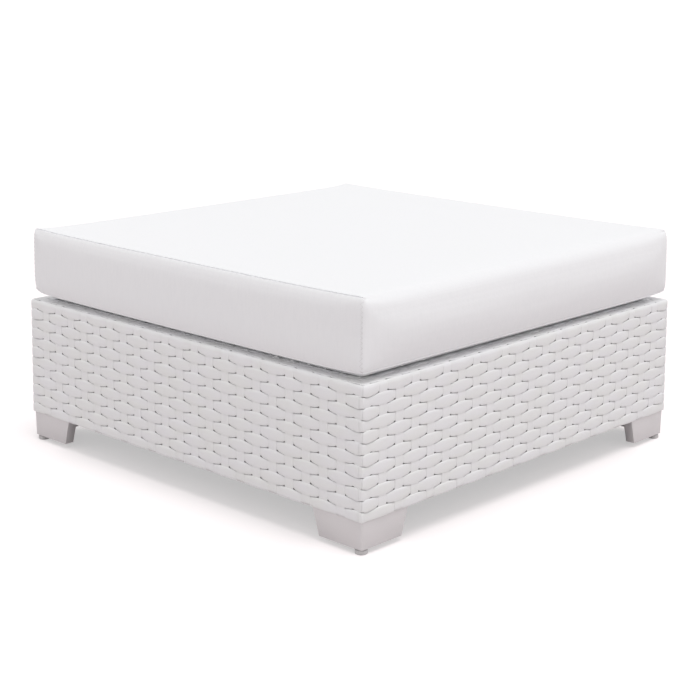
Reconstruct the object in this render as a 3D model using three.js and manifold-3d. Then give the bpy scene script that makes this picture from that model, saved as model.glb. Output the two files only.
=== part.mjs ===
// Outdoor ottoman footstool: a woven square base on four corner feet, with a loose zipped cushion.
// Millimetres, +Z up. The origin is on the floor under the middle, and the front faces -Y.
import * as THREE from 'three';
import { mergeVertices } from 'three/addons/utils/BufferGeometryUtils.js';
import Module from 'manifold-3d';

const wasm = await Module();
wasm.setup();

// Overall sizes
const baseWidth = 900;
const weaveHeight = 229;
const footHeight = 48;
const seatGap = 0.3;
const overrun = 2;
const corners = ['front_left', 'front_right', 'back_right', 'back_left'];
const sides = ['front', 'right', 'back', 'left'];
const quarterTurn = Math.PI / 2;

// Weave: flat strap in level courses over upright stakes
const weaveWall = 4.6;
const weaveEdgeRadius = 8;
const weaveCornerRadius = 8;
const lipDepth = 24;
const courseCount = 13;
const stakeCount = 21;
const cornerMargin = 50;
const stakeWidth = 20;
const floatEnd = 1.2;
const strapDip = 2.6;
const stakeDepth = 1.2;
const courseWave = 2;
const creaseDipShare = 0.4;
const plainRowShares = [0.5];
const bentRowShares = [0.25, 0.5, 0.75];
const bentCourse = 11;
const deckRibDip = 1.6;

// Frame of square and flat tube
const tubeSize = 25;
const tubeWall = 1.5;
const slatWidth = 40;
const slatHeight = 15;
const slatCornerRadius = 3;
const slatCount = 5;
const gussetThickness = 4;
const gussetReach = 58;

// Corner feet
const footInset = 3.5;
const footArmTop = 112;
const footArmBottom = 98;
const footArmDepth = 20;
const footDraft = 1.2;
const footWall = 3;
const footFloor = 5;
const footEdgeRadius = 4;
const footEdgeSteps = 4;
const flangeThickness = 3;
const screwNear = 42;
const screwFar = 66;

// Screws
const screwRadius = 3;
const screwHeadRadius = 5.6;
const screwHeadHeight = 3.4;
const screwHeadRound = 1;
const screwTip = 1;
const screwThread = 7;
const screwSides = 8;

// Glides
const glideRadius = 11;
const glidePadHeight = 7.5;
const glideChamfer = 1.2;
const glideInset = 12.5;
const glideSides = 12;
const hexRadius = 7;
const hexHeight = 2;
const hexSides = 6;
const studRadius = 4;
const studReach = 24;
const studSeat = 4.5;
const insertRadius = 6.5;
const insertHeight = 14;
const bossRadius = 9;

// Cushion
const cushionInset = 5;
const cushionSideHeight = 134;
const cushionCrown = 10;
const cushionCornerRadius = 10;
const cushionDrawIn = 3;
const cushionBulge = 3;
const topFoldRadius = 18;
const backFoldRadius = 38;
const lowerSeamHeight = 12;
const underInset = 34;
const underCurveShare = 0.45;
const underRiseShare = 0.25;
const seamRidge = 1.5;
const seamHalfHeight = 2.5;
const coverWall = 2;
const coreGap = 1.2;
const tapeClearance = 0.6;
const ringSidePoints = 7;
const ringCornerPoints = 3;
const drawInPower = 6;
const crownPower = 3;
const foldSteps = 3;
const crownRingShares = [0.9, 0.68, 0.35];

// Zip on the back of the cushion
const zipLength = 620;
const zipSlotHeight = 12;
const tapeThickness = 1.2;
const chainHeight = 5.6;
const chainDepth = 2.2;
const sliderHeight = 9.6;
const sliderLength = 13;
const sliderWall = 1.4;
const bailWidth = 2.4;
const bailHeight = 9;
const bailReach = 5;
const bailWall = 1.7;
const pullWidth = 9;
const pullLength = 27;
const pullThickness = 1.6;
const pullBar = 1.6;
const pullWindowWidth = 4.6;
const pullWindowLength = 6.4;
const pullRound = 1.6;
const pullSteps = 2;
const zipPark = 6;

// Heights worked out from the sizes above
const glideHeight = glidePadHeight + hexHeight;
const footTop = glideHeight + footHeight;
const weaveBottom = footTop + seatGap;
const halfWidth = baseWidth / 2;
const weaveTop = weaveBottom + weaveHeight;
const lipUnderside = weaveTop - weaveWall;
const railTop = lipUnderside - seatGap;
const frameEdge = weaveWall + seatGap;
const tubeCornerRadius = weaveEdgeRadius - frameEdge;
const cornerPostTop = railTop - tubeCornerRadius;
const tubeLine = frameEdge + tubeSize / 2;
const frameInside = frameEdge + tubeSize + seatGap;
const cushionBottom = weaveTop + seatGap;

function material(color, roughness, metalness) {
  return new THREE.MeshStandardMaterial({ color, roughness, metalness });
}

const wicker = material('#d9dadb', 0.55, 0);
const frameMetal = material('#c9c9c9', 0.45, 0.6);
const footMetal = material('#c6c2c1', 0.4, 0.5);
const steel = material('#8d8f92', 0.35, 0.9);
const padPlastic = material('#dcdcda', 0.5, 0);
const coverCloth = material('#eef0f2', 0.9, 0);
const coreFoam = material('#f0ead8', 0.95, 0);
const zipPlastic = material('#e6e7e8', 0.5, 0);

// Joining and cutting

function toSolid(geometry) {
  const bare = geometry.clone();
  bare.deleteAttribute('normal');
  bare.deleteAttribute('uv');
  const merged = mergeVertices(bare);
  return new wasm.Manifold(new wasm.Mesh({
    numProp: 3,
    vertProperties: new Float32Array(merged.attributes.position.array),
    triVerts: new Uint32Array(merged.index.array),
  }));
}

function toGeometry(solid) {
  const made = solid.getMesh();
  const geometry = new THREE.BufferGeometry();
  geometry.setAttribute('position', new THREE.BufferAttribute(made.vertProperties, 3));
  geometry.setIndex(new THREE.BufferAttribute(made.triVerts, 1));
  return geometry;
}

function cut(geometry, ...tools) {
  let solid = toSolid(geometry);
  for (const tool of tools) solid = solid.subtract(toSolid(tool));
  return toGeometry(solid);
}

function join(first, ...others) {
  let solid = toSolid(first);
  for (const other of others) solid = solid.add(toSolid(other));
  return toGeometry(solid);
}

function mesh(name, geometry, look, x = 0, y = 0, z = 0) {
  const made = new THREE.Mesh(geometry, look);
  made.name = name;
  made.position.set(x, y, z);
  return made;
}

function indexed(points, triangles) {
  const geometry = new THREE.BufferGeometry();
  geometry.setAttribute('position', new THREE.Float32BufferAttribute(points.flat(), 3));
  geometry.setIndex(triangles.flat());
  return geometry;
}

// Triangles between two rows of points, each row in order of its key
function stitch(lower, upper, triangles) {
  let i = 0;
  let j = 0;
  while (i < lower.length - 1 || j < upper.length - 1) {
    const nextLower = i < lower.length - 1 ? lower[i + 1].key : Infinity;
    const nextUpper = j < upper.length - 1 ? upper[j + 1].key : Infinity;
    if (nextLower <= nextUpper) {
      triangles.push([lower[i].index, lower[i + 1].index, upper[j].index]);
      i += 1;
    } else {
      triangles.push([lower[i].index, upper[j + 1].index, upper[j].index]);
      j += 1;
    }
  }
}

// A shape pushed up by a height, standing on z = 0
function prism(shape, height, curveSegments = 1) {
  return new THREE.ExtrudeGeometry(shape, { depth: height, bevelEnabled: false, curveSegments });
}

// A round solid about Z, given as [radius, height] points
function turned(profile, sideCount) {
  return new THREE.LatheGeometry(profile.map(([r, z]) => new THREE.Vector2(r, z)), sideCount)
    .rotateX(quarterTurn);
}

function roundedRectangle(width, height, radius) {
  const x = width / 2;
  const y = height / 2;
  const shape = new THREE.Shape();
  shape.moveTo(-x + radius, -y);
  shape.lineTo(x - radius, -y);
  shape.absarc(x - radius, -y + radius, radius, -quarterTurn, 0);
  shape.lineTo(x, y - radius);
  shape.absarc(x - radius, y - radius, radius, 0, quarterTurn);
  shape.lineTo(-x + radius, y);
  shape.absarc(-x + radius, y - radius, radius, quarterTurn, 2 * quarterTurn);
  shape.lineTo(-x, -y + radius);
  shape.absarc(-x + radius, -y + radius, radius, 2 * quarterTurn, 3 * quarterTurn);
  return shape;
}

// A hollow tube of rectangular section along Z, centred on its middle
function tube(width, height, radius, length) {
  const shape = roundedRectangle(width, height, radius);
  const bore = roundedRectangle(width - 2 * tubeWall, height - 2 * tubeWall, radius - tubeWall);
  shape.holes.push(bore);
  return prism(shape, length).translate(0, 0, -length / 2);
}

// Woven side panels

const faceStraight = weaveHeight - weaveEdgeRadius;
const edgeArc = weaveEdgeRadius * quarterTurn;
const panelTravel = faceStraight + edgeArc + lipDepth - weaveEdgeRadius;
const courseHeight = panelTravel / courseCount;
const stakePitch = (baseWidth - 2 * cornerMargin) / (stakeCount - 1);

// Where the panel's skin is after some travel: up the face, round the edge, in along the lip
function skinAt(travel) {
  if (travel <= faceStraight) return { out: 0, up: travel, outward: 1, upward: 0 };
  if (travel < faceStraight + edgeArc) {
    const turn = (travel - faceStraight) / weaveEdgeRadius;
    return {
      out: weaveEdgeRadius * (Math.cos(turn) - 1),
      up: faceStraight + weaveEdgeRadius * Math.sin(turn),
      outward: Math.cos(turn),
      upward: Math.sin(turn),
    };
  }
  return { out: faceStraight + edgeArc - weaveEdgeRadius - travel, up: weaveHeight, outward: 0, upward: 1 };
}

function panelPoint(panel, along, travel, dip) {
  const skin = skinAt(travel);
  const out = skin.out - dip * skin.outward;
  panel.points.push([along, -(halfWidth + out), skin.up - dip * skin.upward]);
  return { index: panel.points.length - 1, key: along };
}

// The two points that end a row: where the corner starts to turn, and the crease where it folds
function cornerPoints(panel, side, travel, dip) {
  const skin = skinAt(travel);
  const creaseDip = dip * creaseDipShare;
  const rounding = weaveCornerRadius * (1 - Math.SQRT1_2) * skin.outward;
  const creaseOut = skin.out - rounding - creaseDip * skin.outward;
  const bend = panelPoint(panel, side * (halfWidth + skin.out - weaveCornerRadius), travel, dip);
  const along = side * (halfWidth + creaseOut - seatGap);
  panel.points.push([along, -(halfWidth + creaseOut), skin.up - creaseDip * skin.upward]);
  const crease = { index: panel.points.length - 1, key: along };
  return side < 0 ? [crease, bend] : [bend, crease];
}

// Where two courses meet: the strap edges wave, wider where a strap passes over a stake
function edgeRow(panel, course, phase) {
  const travel = course * courseHeight;
  const inner = course > 0 && course < courseCount;
  const row = cornerPoints(panel, -1, travel, strapDip);
  for (let stake = 0; stake < stakeCount; stake += 1) {
    const lowerIsOver = (stake + course + phase) % 2 === 0;
    const wave = inner ? courseWave * (lowerIsOver ? 1 : -1) : 0;
    row.push(panelPoint(panel, stake * stakePitch - halfWidth + cornerMargin, travel + wave, strapDip));
  }
  row.push(...cornerPoints(panel, 1, travel, strapDip));
  return row;
}

// One row of points along a course: pillowed over one stake, tucked under the next
function courseRow(panel, course, share, phase) {
  const travel = (course + share) * courseHeight;
  const fullness = 1 - (2 * share - 1) ** 2;
  const dipTo = (deepest) => strapDip + fullness * (deepest - strapDip);
  const row = cornerPoints(panel, -1, travel, dipTo(stakeDepth));
  for (let stake = 0; stake < stakeCount; stake += 1) {
    const middle = stake * stakePitch - halfWidth + cornerMargin;
    if ((stake + course + phase) % 2 === 1) {
      row.push(panelPoint(panel, middle, travel, dipTo(0)));
      continue;
    }
    const edge = stakeWidth / 2;
    row.push(panelPoint(panel, middle - edge - floatEnd, travel, strapDip));
    row.push(panelPoint(panel, middle - edge, travel, dipTo(stakeDepth)));
    row.push(panelPoint(panel, middle + edge, travel, dipTo(stakeDepth)));
    row.push(panelPoint(panel, middle + edge + floatEnd, travel, strapDip));
  }
  row.push(...cornerPoints(panel, 1, travel, dipTo(stakeDepth)));
  return row;
}

// The plain inner face, from the bottom to the end of the lip
function innerRows(panel) {
  const bend = (1 - Math.SQRT1_2) * (weaveEdgeRadius - weaveWall);
  const places = [
    [0, -weaveWall, 0],
    [faceStraight, -weaveWall, faceStraight],
    [faceStraight + edgeArc / 2, -weaveWall - bend, weaveHeight - weaveWall - bend],
    [faceStraight + edgeArc, -weaveEdgeRadius, weaveHeight - weaveWall],
    [panelTravel, -lipDepth, weaveHeight - weaveWall],
  ];
  return places.map(([travel, out, up]) => [-1, 1].map((side) => {
    const along = side * (halfWidth + out - seatGap);
    panel.points.push([along, -(halfWidth + out), up]);
    return { index: panel.points.length - 1, key: along, travel };
  }));
}

function outerRows(panel, phase) {
  const rows = [];
  for (let course = 0; course < courseCount; course += 1) {
    const shares = course === bentCourse ? bentRowShares : plainRowShares;
    rows.push({ travel: course * courseHeight, row: edgeRow(panel, course, phase) });
    for (const share of shares) {
      const row = courseRow(panel, course, share, phase);
      rows.push({ travel: (course + share) * courseHeight, row });
    }
  }
  rows.push({ travel: panelTravel, row: edgeRow(panel, courseCount, phase) });
  return rows;
}

function wovenSide(phase) {
  const panel = { points: [], triangles: [] };
  const outer = outerRows(panel, phase);
  const inner = innerRows(panel);
  const loop = [...outer.map(({ row }) => row), ...inner.reverse()];
  for (let i = 0; i < loop.length; i += 1) {
    stitch(loop[i], loop[(i + 1) % loop.length], panel.triangles);
  }
  inner.reverse();
  const outerEnds = (end) => outer.map(({ travel, row }) => ({ index: row.at(end).index, key: travel }));
  const innerEnds = (end) => inner.map((row) => ({ index: row.at(end).index, key: row[0].travel }));
  stitch(innerEnds(-1), outerEnds(-1), panel.triangles);
  stitch(outerEnds(0), innerEnds(0), panel.triangles);
  return indexed(panel.points, panel.triangles);
}

function wovenSides() {
  const group = new THREE.Group();
  sides.forEach((side, turn) => {
    const panel = mesh(`woven_${side}`, wovenSide((turn + 1) % 2), wicker, 0, 0, weaveBottom);
    panel.rotation.z = turn * quarterTurn;
    group.add(panel);
  });
  return group;
}

// The deck lies inside the four lips, with one rib for each course of strap
function wovenDeck() {
  const half = halfWidth - lipDepth - seatGap;
  const ribCount = Math.round(2 * half / courseHeight);
  const ribPitch = 2 * half / ribCount;
  const shape = new THREE.Shape();
  shape.moveTo(-half, 0);
  shape.lineTo(half, 0);
  shape.lineTo(half, weaveWall - deckRibDip);
  for (let rib = ribCount; rib > 0; rib -= 1) {
    shape.lineTo((rib - 0.5) * ribPitch - half, weaveWall);
    shape.lineTo((rib - 1) * ribPitch - half, weaveWall - deckRibDip);
  }
  const deck = prism(shape, 2 * half).translate(0, 0, -half).rotateX(quarterTurn);
  return mesh('woven_deck', deck, wicker, 0, 0, lipUnderside);
}

// Frame

function frameSide(side, turn) {
  const group = new THREE.Group();
  const line = -halfWidth + tubeLine;
  const railLength = baseWidth - 2 * frameInside;
  const rail = () => tube(tubeSize, tubeSize, tubeCornerRadius, railLength).rotateY(quarterTurn);
  const middleHeight = railTop - weaveBottom - 2 * (tubeSize + seatGap);
  const post = (length) => tube(tubeSize, tubeSize, tubeCornerRadius, length);
  const cornerHeight = cornerPostTop - weaveBottom;
  group.add(
    mesh(`top_rail_${side}`, rail(), frameMetal, 0, line, railTop - tubeSize / 2),
    mesh(`bottom_rail_${side}`, rail(), frameMetal, 0, line, weaveBottom + tubeSize / 2),
    mesh(`middle_post_${side}`, post(middleHeight), frameMetal, 0, line, (weaveBottom + railTop) / 2),
    mesh(`corner_post_${corners[turn]}`, post(cornerHeight), frameMetal, line, line,
      weaveBottom + cornerHeight / 2),
  );
  group.rotation.z = turn * quarterTurn;
  return group;
}

function deckSlats() {
  const group = new THREE.Group();
  const length = baseWidth - 2 * frameInside;
  const pitch = length / slatCount;
  for (let i = 0; i < slatCount; i += 1) {
    const slat = tube(slatWidth, slatHeight, slatCornerRadius, length).rotateX(quarterTurn);
    const x = (i + 0.5) * pitch - length / 2;
    group.add(mesh(`deck_slat_${i + 1}`, slat, frameMetal, x, 0, railTop - slatHeight / 2));
  }
  return group;
}

// The two screw places in a corner, measured from the outer corner of the weave
const screwPlaces = [[screwNear, screwFar], [screwFar, screwNear]];

function screwHoles(bottom, height) {
  const length = height + 2 * overrun;
  return screwPlaces.map(([x, y]) => turned([
    [0, bottom - overrun],
    [screwRadius + seatGap, bottom - overrun],
    [screwRadius + seatGap, bottom - overrun + length],
    [0, bottom - overrun + length],
  ], screwSides).translate(x, y, 0));
}

function cornerPlate(start, reach, thickness) {
  const shape = new THREE.Shape();
  const nose = footWall;
  shape.moveTo(start, start);
  shape.lineTo(start + reach, start);
  shape.lineTo(start + reach, start + nose);
  shape.lineTo(start + nose, start + reach);
  shape.lineTo(start, start + reach);
  return prism(shape, thickness);
}

function gusset() {
  const plate = cornerPlate(frameInside, gussetReach, gussetThickness).translate(0, 0, weaveBottom);
  return cut(plate, ...screwHoles(weaveBottom, gussetThickness));
}

// Feet

// The L outline of a foot, measured from the outer corner of the weave
function footOutline(face, armEnd, armInside, radius) {
  const outline = [];
  for (let i = 0; i <= footEdgeSteps; i += 1) {
    const angle = (2 + i / footEdgeSteps) * quarterTurn;
    outline.push([face + radius * (1 + Math.cos(angle)), face + radius * (1 + Math.sin(angle))]);
  }
  outline.push([armEnd, face], [armEnd, armInside], [armInside, armInside]);
  outline.push([armInside, armEnd], [face, armEnd]);
  return outline.map(([x, y]) => new THREE.Vector2(x, y));
}

function loft(lower, lowerHeight, upper, upperHeight) {
  const count = lower.length;
  const points = [
    ...lower.map((p) => [p.x, p.y, lowerHeight]),
    ...upper.map((p) => [p.x, p.y, upperHeight]),
  ];
  const triangles = [];
  for (const [a, b, c] of THREE.ShapeUtils.triangulateShape(lower, [])) {
    triangles.push([c, b, a], [a + count, b + count, c + count]);
  }
  for (let i = 0; i < count; i += 1) {
    const next = (i + 1) % count;
    triangles.push([i, next, next + count], [i, next + count, i + count]);
  }
  return indexed(points, triangles);
}

// One L-shaped skin of the foot, drawn in all round by a wall
function footSkin(wall, bottom, top) {
  const lower = footOutline(
    footInset + footDraft + wall,
    footInset + footArmBottom - wall,
    footInset + footArmDepth - wall,
    footEdgeRadius,
  );
  const upper = footOutline(
    footInset + wall,
    footInset + footArmTop - wall,
    footInset + footArmDepth - wall,
    footEdgeRadius,
  );
  return loft(lower, bottom, upper, top);
}

const glidePlace = footInset + glideInset;
const insertTop = glideHeight + insertHeight;

function foot() {
  const shell = cut(
    footSkin(0, glideHeight, footTop),
    footSkin(footWall, glideHeight + footFloor, footTop + overrun),
  );
  const flangeStart = footInset + footArmDepth - footWall / 2;
  const flangeReach = frameInside + gussetReach - flangeStart;
  const flange = cornerPlate(flangeStart, flangeReach, flangeThickness)
    .translate(0, 0, footTop - flangeThickness);
  const bossTop = insertTop + footWall;
  const boss = toSolid(turned([
    [0, glideHeight], [bossRadius, glideHeight], [bossRadius, bossTop], [0, bossTop],
  ], glideSides).translate(glidePlace, glidePlace, 0)).intersect(toSolid(footSkin(0, glideHeight, footTop)));
  const bore = turned([
    [0, glideHeight - overrun],
    [insertRadius + seatGap, glideHeight - overrun],
    [insertRadius + seatGap, insertTop],
    [studRadius + seatGap, insertTop],
    [studRadius + seatGap, bossTop + overrun],
    [0, bossTop + overrun],
  ], glideSides).translate(glidePlace, glidePlace, 0);
  const body = join(shell, flange, toGeometry(boss));
  return cut(body, bore, ...screwHoles(footTop - flangeThickness, flangeThickness));
}

// A pan-head screw, head down, standing up through the foot flange into the gusset
function footScrew() {
  const headTop = footTop - flangeThickness - seatGap;
  const tip = weaveBottom + gussetThickness + screwThread;
  return turned([
    [0, headTop - screwHeadHeight],
    [screwHeadRadius - screwHeadRound, headTop - screwHeadHeight],
    [screwHeadRadius, headTop - screwHeadHeight + screwHeadRound],
    [screwHeadRadius, headTop],
    [screwRadius, headTop],
    [screwRadius, tip - screwTip],
    [screwRadius - screwTip, tip],
    [0, tip],
  ], screwSides);
}

// Glides

function glideInsert() {
  const inside = studRadius + seatGap;
  return turned([
    [inside, glideHeight],
    [insertRadius, glideHeight],
    [insertRadius, insertTop - seatGap],
    [inside, insertTop - seatGap],
    [inside, glideHeight],
  ], glideSides);
}

function glideStud() {
  const shank = turned([
    [0, glidePadHeight - studSeat + seatGap],
    [studRadius, glidePadHeight - studSeat + seatGap],
    [studRadius, glideHeight + studReach - screwTip],
    [studRadius - screwTip, glideHeight + studReach],
    [0, glideHeight + studReach],
  ], glideSides);
  const hex = turned([
    [0, glidePadHeight + seatGap],
    [hexRadius, glidePadHeight + seatGap],
    [hexRadius, glideHeight - seatGap],
    [0, glideHeight - seatGap],
  ], hexSides);
  return join(shank, hex);
}

function glidePad() {
  const inside = studRadius + seatGap;
  return turned([
    [0, 0],
    [glideRadius - glideChamfer, 0],
    [glideRadius, glideChamfer],
    [glideRadius, glidePadHeight - glideChamfer],
    [glideRadius - glideChamfer, glidePadHeight],
    [inside, glidePadHeight],
    [inside, glidePadHeight - studSeat],
    [0, glidePadHeight - studSeat],
  ], glideSides);
}

function cornerParts(corner, turn) {
  const group = new THREE.Group();
  const inner = new THREE.Group();
  inner.position.set(-halfWidth, -halfWidth, 0);
  inner.add(
    mesh(`gusset_${corner}`, gusset(), frameMetal),
    mesh(`foot_${corner}`, foot(), footMetal),
    mesh(`glide_insert_${corner}`, glideInsert(), steel, glidePlace, glidePlace),
    mesh(`glide_stud_${corner}`, glideStud(), steel, glidePlace, glidePlace),
    mesh(`glide_pad_${corner}`, glidePad(), padPlastic, glidePlace, glidePlace),
  );
  screwPlaces.forEach(([x, y], i) => {
    inner.add(mesh(`foot_screw_${corner}_${i + 1}`, footScrew(), steel, x, y));
  });
  group.add(inner);
  group.rotation.z = turn * quarterTurn;
  return group;
}

// Cushion

const cushionSeam = cushionBottom + cushionSideHeight;
const zipHeight = cushionBottom + cushionSideHeight / 2;
const backFace = halfWidth - cushionInset + cushionBulge - cushionDrawIn;

// A rounded ring whose sides are drawn in between the corners. The four outs are how far the front,
// right, back and left sides stand from the middle.
function cushionRing(outs, radius, drawIn, height) {
  const ring = [];
  for (let side = 0; side < sides.length; side += 1) {
    const turn = side * quarterTurn;
    const out = outs[side];
    const start = radius - outs.at(side - 1);
    const end = outs[(side + 1) % sides.length] - radius;
    const place = (along, distance) => ring.push([
      along * Math.cos(turn) + distance * Math.sin(turn),
      along * Math.sin(turn) - distance * Math.cos(turn),
      height,
    ]);
    for (let i = 0; i < ringSidePoints; i += 1) {
      const share = 2 * i / (ringSidePoints - 1) - 1;
      const along = start + (end - start) * (share + 1) / 2;
      place(along, out - drawIn * (1 - Math.abs(share) ** drawInPower));
    }
    for (let i = 1; i < ringCornerPoints; i += 1) {
      const angle = i / ringCornerPoints * quarterTurn;
      place(end + radius * Math.sin(angle), out - radius * (1 - Math.cos(angle)));
    }
  }
  return ring;
}

// How far a fold has turned in at some distance from its edge
function foldInset(distance, radius) {
  const short = Math.max(radius - distance, 0);
  return radius - Math.sqrt(radius ** 2 - short ** 2);
}

// One ring of the cushion, drawn in by a wall. Its level is measured from the underside, before the
// wall, and its insets from the widest size.
function levelRing(wall, level, frontIn, backIn, sideIn) {
  const widest = halfWidth - cushionInset + cushionBulge - wall;
  const outs = [frontIn, sideIn, backIn, sideIn].map((inset) => widest - inset);
  const squeezed = level * (cushionSideHeight - 2 * wall) / cushionSideHeight;
  return cushionRing(outs, cushionCornerRadius - wall, cushionDrawIn, cushionBottom + wall + squeezed);
}

// The underside curves up to the lower seam, and further up at the back
function underRings(wall) {
  const curveLevel = lowerSeamHeight * underRiseShare;
  const curveIn = underInset * underCurveShare;
  const backIn = Math.max(foldInset(curveLevel, backFoldRadius), curveIn);
  return [
    levelRing(wall, 0, underInset, backFoldRadius, underInset),
    levelRing(wall, curveLevel, curveIn, backIn, curveIn),
  ];
}

// Levels of the rings up the sides: the lower seam, the fold at the back, the middle and the top fold
function sideLevels() {
  const levels = [
    lowerSeamHeight,
    lowerSeamHeight + seamHalfHeight,
    (lowerSeamHeight + backFoldRadius) / 2,
    backFoldRadius,
    cushionSideHeight / 2,
  ];
  for (let step = 0; step <= foldSteps; step += 1) {
    const rise = topFoldRadius * Math.sin(step / foldSteps * quarterTurn);
    levels.push(cushionSideHeight - topFoldRadius + rise);
  }
  return levels;
}

// The sides bulge. The left and right ones end in a seam at the top, the front and back ones in a fold.
function sideRings(wall) {
  return sideLevels().map((level) => {
    const ridge = (seam) => (Math.abs(level - seam) < seamHalfHeight / 2 ? seamRidge : 0);
    const bulgeIn = cushionBulge * (2 * level / cushionSideHeight - 1) ** 2;
    const folded = bulgeIn + foldInset(cushionSideHeight - level, topFoldRadius);
    const hem = ridge(lowerSeamHeight);
    const sewn = ridge(cushionSideHeight);
    const backIn = folded + foldInset(level, backFoldRadius);
    return levelRing(wall, level, folded - hem, backIn, bulgeIn - hem - sewn);
  });
}

function crownRings(wall) {
  const across = halfWidth - cushionInset - wall;
  const along = across - topFoldRadius;
  const radius = cushionCornerRadius - wall;
  return crownRingShares.map((share) => {
    const outs = [along, across, along, across].map((out) => out * share);
    const rise = cushionCrown * (1 - share ** crownPower);
    return cushionRing(outs, radius * share, cushionDrawIn * share, cushionSeam - wall + rise);
  });
}

function cushionSolid(wall) {
  const rings = [...underRings(wall), ...sideRings(wall), ...crownRings(wall)];
  const count = rings[0].length;
  const low = cushionBottom + wall;
  const high = cushionSeam - wall + cushionCrown;
  const points = [...rings.flat(), [0, 0, low], [0, 0, high]];
  const triangles = [];
  const last = (rings.length - 1) * count;
  for (let i = 0; i < count; i += 1) {
    const next = (i + 1) % count;
    for (let start = 0; start < last; start += count) {
      triangles.push([start + i, start + next, start + count + next]);
      triangles.push([start + i, start + count + next, start + count + i]);
    }
    triangles.push([points.length - 2, next, i]);
    triangles.push([points.length - 1, last + i, last + next]);
  }
  return indexed(points, triangles);
}

function zipSlot() {
  const depth = 2 * (coverWall + cushionDrawIn);
  return new THREE.BoxGeometry(zipLength, depth, zipSlotHeight).translate(0, backFace, zipHeight);
}

const tapeInside = backFace - coverWall;

// The room behind the tape, kept clear of the core
function tapeRoom() {
  const depth = 2 * (coverWall + cushionDrawIn);
  const place = tapeInside - tapeClearance + depth / 2;
  return new THREE.BoxGeometry(zipLength, depth, zipSlotHeight).translate(0, place, zipHeight);
}

// Turns a prism whose outline is drawn as (depth, height) so that it runs along X
function alongX(shape, length) {
  return prism(shape, length).translate(0, 0, -length / 2).rotateX(quarterTurn).rotateZ(quarterTurn);
}

function outlined(points) {
  return new THREE.Shape(points.map(([x, y]) => new THREE.Vector2(x, y)));
}

// Tape with the closed chain standing out along its middle
function zipTape() {
  const tapeHalf = zipSlotHeight / 2 - seatGap;
  const chainHalf = chainHeight / 2;
  const chainTop = tapeThickness + chainDepth;
  const slope = chainDepth / 2;
  return alongX(outlined([
    [0, -tapeHalf],
    [tapeThickness, -tapeHalf],
    [tapeThickness, -chainHalf],
    [chainTop, slope - chainHalf],
    [chainTop, chainHalf - slope],
    [tapeThickness, chainHalf],
    [tapeThickness, tapeHalf],
    [0, tapeHalf],
  ]), zipLength - 2 * seatGap);
}

const sliderInside = tapeThickness + chainDepth + seatGap;
const sliderFace = sliderInside + sliderWall;
const hingeDepth = sliderFace + (bailReach - bailWall) / 2;
const sliderPlace = zipLength / 2 - zipPark - sliderLength / 2;

// The slider is a channel over the chain, with an arch that holds the pull
function zipSlider() {
  const lip = tapeThickness + seatGap;
  const half = sliderHeight / 2;
  const grip = half - sliderWall;
  const channel = alongX(outlined([
    [lip, -half], [sliderFace, -half], [sliderFace, half], [lip, half],
    [lip, grip], [sliderInside, grip], [sliderInside, -grip], [lip, -grip],
  ]), sliderLength);
  const foot = sliderFace - sliderWall / 2;
  const top = sliderFace + bailReach;
  const outer = bailHeight / 2;
  const inner = outer - bailWall;
  const arch = alongX(outlined([
    [foot, -outer], [top - bailWall / 2, -outer], [top, -inner], [top, inner],
    [top - bailWall / 2, outer], [foot, outer],
    [foot, inner], [top - bailWall, inner], [top - bailWall, -inner], [foot, -inner],
  ]), bailWidth);
  return join(channel, arch);
}

// The pull hangs by the bar over its window, which lies inside the arch
function zipPull() {
  const shape = roundedRectangle(pullWidth, pullLength, pullRound);
  const window = roundedRectangle(pullWindowWidth, pullWindowLength, pullRound / 2);
  const drop = pullLength / 2 - pullBar - pullWindowLength / 2;
  shape.holes.push(new THREE.Path(window.getPoints(pullSteps).map((p) => p.setY(p.y + drop))));
  return prism(shape, pullThickness, pullSteps)
    .translate(0, pullBar / 2 - pullLength / 2, -pullThickness / 2)
    .rotateX(quarterTurn);
}

function cushion() {
  const group = new THREE.Group();
  const cover = cut(cushionSolid(0), cushionSolid(coverWall), zipSlot());
  group.add(
    mesh('cushion_cover', cover, coverCloth),
    mesh('cushion_core', cut(cushionSolid(coverWall + coreGap), tapeRoom()), coreFoam),
    mesh('zip_tape', zipTape(), zipPlastic, 0, tapeInside, zipHeight),
    mesh('zip_slider', zipSlider(), zipPlastic, sliderPlace, tapeInside, zipHeight),
    mesh('zip_pull', zipPull(), zipPlastic, sliderPlace, tapeInside + hingeDepth, zipHeight),
  );
  return group;
}

const model = new THREE.Group();
model.add(wovenSides(), wovenDeck(), deckSlats(), cushion());
sides.forEach((side, turn) => model.add(frameSide(side, turn)));
corners.forEach((corner, turn) => model.add(cornerParts(corner, turn)));

export default model;
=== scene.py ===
import math

import bmesh
import bpy
import numpy as np
from mathutils import Matrix, Vector


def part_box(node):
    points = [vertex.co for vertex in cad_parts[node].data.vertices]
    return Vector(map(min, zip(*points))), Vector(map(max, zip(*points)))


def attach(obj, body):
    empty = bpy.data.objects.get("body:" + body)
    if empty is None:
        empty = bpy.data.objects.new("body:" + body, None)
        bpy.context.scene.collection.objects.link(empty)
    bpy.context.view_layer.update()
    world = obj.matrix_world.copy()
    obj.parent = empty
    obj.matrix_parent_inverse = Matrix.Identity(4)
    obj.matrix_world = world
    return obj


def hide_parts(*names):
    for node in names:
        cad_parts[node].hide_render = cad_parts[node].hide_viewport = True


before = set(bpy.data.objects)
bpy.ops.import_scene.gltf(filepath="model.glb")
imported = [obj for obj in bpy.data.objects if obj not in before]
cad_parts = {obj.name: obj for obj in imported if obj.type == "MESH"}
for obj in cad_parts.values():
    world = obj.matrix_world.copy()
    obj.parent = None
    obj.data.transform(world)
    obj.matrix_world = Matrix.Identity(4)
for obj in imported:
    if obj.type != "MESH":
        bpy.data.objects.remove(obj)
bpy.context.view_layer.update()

MM = 0.001
SIDES = ("front", "right", "back", "left")
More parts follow.
